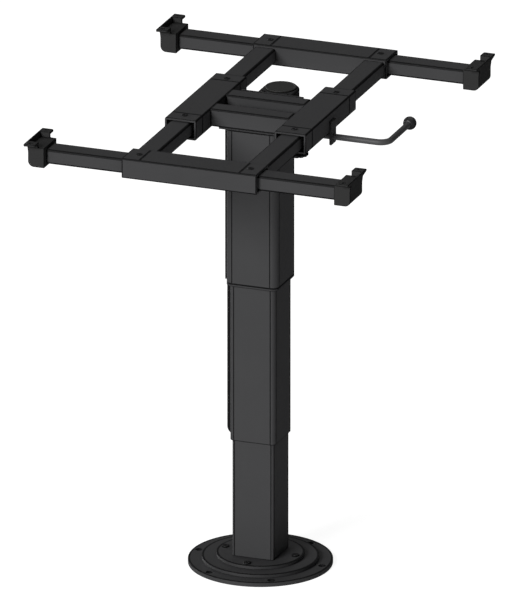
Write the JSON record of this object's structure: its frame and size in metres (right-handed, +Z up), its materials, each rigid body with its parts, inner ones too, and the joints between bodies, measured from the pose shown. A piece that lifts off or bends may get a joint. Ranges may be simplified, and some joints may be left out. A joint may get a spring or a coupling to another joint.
{
  "type": "lifting column",
  "caption": "Telescoping lifting column for a table, on a round floor flange, with a head frame that slides both ways on tubes and a ball-ended release lever.",
  "frame": {"origin": "centre of the floor flange's underside, on the floor", "axes": "+Z up along the column, +Y along the long rails away from the viewer, +X to the lever's side"},
  "size_m": [0.496, 0.606, 0.71],
  "materials": {
    "black_paint": "fine satin powder coat",
    "cast_bracket": "satin coat on a die casting",
    "black_screws": "black oxide",
    "black_plastic": "finely grained",
    "ball_plastic": "smooth moulded",
    "glide_plastic": "smooth bearing plastic",
    "bare_steel": "machined",
    "cylinder_paint": "semi-gloss",
    "belt_rubber": "flat belt"
  },
  "bodies": {
    "base": {"floor_flange": "black_paint", "spacer_disc": "black_paint", "foot_plate": "black_paint", "foot_bolts": "black_screws", "lower_tube": "black_paint", "lower_glide": "glide_plastic", "lower_belt_clamp": "bare_steel"},
    "middle_stage": {"middle_tube": "black_paint", "belt_guard": "black_paint", "pulley_axles": "bare_steel", "lift_belt": "belt_rubber", "middle_cap": "bare_steel", "middle_low_glide": "glide_plastic", "middle_high_glide": "glide_plastic", "gas_cylinder": "cylinder_paint"},
    "low_pulley": {"low_pulley": "glide_plastic"},
    "high_pulley": {"high_pulley": "glide_plastic"},
    "head": {"upper_tube": "black_paint", "upper_glide": "black_plastic", "upper_belt_clamp": "bare_steel", "head_plate": "black_paint", "front_cross_bar": "black_paint", "rear_cross_bar": "black_paint", "bar_bolts": "black_screws", "rear_cover": "black_plastic", "rear_cover_lid": "black_plastic", "rear_cover_screws": "black_screws", "gas_rod": "bare_steel", "rod_bridge": "bare_steel", "rod_nut": "bare_steel", "lever_guide": "black_paint", "lever_bush": "glide_plastic", "clamp_nut": "black_paint", "left_sleeve": "black_paint", "right_sleeve": "black_paint", "left_sleeve_collars": "black_paint", "right_sleeve_collars": "black_paint", "left_sleeve_guides": "glide_plastic", "right_sleeve_guides": "glide_plastic", "head_collar_screws": "black_screws"},
    "slide_frame": {"left_rail": "black_paint", "right_rail": "black_paint", "front_cross_sleeve": "black_paint", "rear_cross_sleeve": "black_paint", "front_sleeve_collars": "black_paint", "rear_sleeve_collars": "black_paint", "front_sleeve_guides": "glide_plastic", "rear_sleeve_guides": "glide_plastic", "frame_collar_screws": "black_screws"},
    "front_arms": {"front_arm": "black_paint", "front_left_bracket": "cast_bracket", "front_right_bracket": "cast_bracket"},
    "rear_arms": {"rear_arm": "black_paint", "rear_left_bracket": "cast_bracket", "rear_right_bracket": "cast_bracket"},
    "lever": {"lever_arm": "black_paint", "lever_ball": "ball_plastic", "release_finger": "bare_steel"},
    "release_pin": {"release_pin": "bare_steel"},
    "slide_clamp": {"clamp_screw": "black_plastic"}
  },
  "joints": [
    {"name": "column_lift", "type": "slide", "parent": "base", "child": "middle_stage", "axis": [0, 0, 1], "range_m": [-0.165, 0]},
    {"name": "head_lift", "type": "slide", "parent": "middle_stage", "child": "head", "axis": [0, 0, 1], "range_m": [-0.165, 0]},
    {"name": "low_pulley_turn", "type": "hinge", "parent": "middle_stage", "child": "low_pulley", "pos_m": [-0.0362, 0, 0.2075], "axis": [0, 1, 0], "range_deg": [-1080, 0]},
    {"name": "high_pulley_turn", "type": "hinge", "parent": "middle_stage", "child": "high_pulley", "pos_m": [-0.0362, 0, 0.45305], "axis": [0, 1, 0], "range_deg": [-1080, 0]},
    {"name": "frame_slide", "type": "slide", "parent": "head", "child": "slide_frame", "axis": [0, 1, 0], "range_m": [-0.12, 0.12]},
    {"name": "front_arm_slide", "type": "slide", "parent": "slide_frame", "child": "front_arms", "axis": [1, 0, 0], "range_m": [-0.11, 0.11]},
    {"name": "rear_arm_slide", "type": "slide", "parent": "slide_frame", "child": "rear_arms", "axis": [1, 0, 0], "range_m": [-0.11, 0.11]},
    {"name": "lever_turn", "type": "hinge", "parent": "head", "child": "lever", "pos_m": [0, 0.004, 0.6645], "axis": [1, 0, 0], "range_deg": [0, 20]},
    {"name": "release_pin_slide", "type": "slide", "parent": "head", "child": "release_pin", "axis": [0, 0, 1], "range_m": [-0.0012, 0]},
    {"name": "slide_clamp_turn", "type": "hinge", "parent": "head", "child": "slide_clamp", "pos_m": [0.084, -0.0728, 0.66], "axis": [0, 0, 1], "range_deg": [0, 180]}
  ],
  "couplings": [
    {"joint": "head_lift", "follows": "column_lift", "ratio": 1},
    {"joint": "low_pulley_turn", "follows": "column_lift", "rad_per_m": 112.99},
    {"joint": "high_pulley_turn", "follows": "column_lift", "rad_per_m": 112.99},
    {"joint": "rear_arm_slide", "follows": "front_arm_slide", "ratio": 1},
    {"joint": "release_pin_slide", "follows": "lever_turn", "m_per_rad": -0.0029}
  ]
}
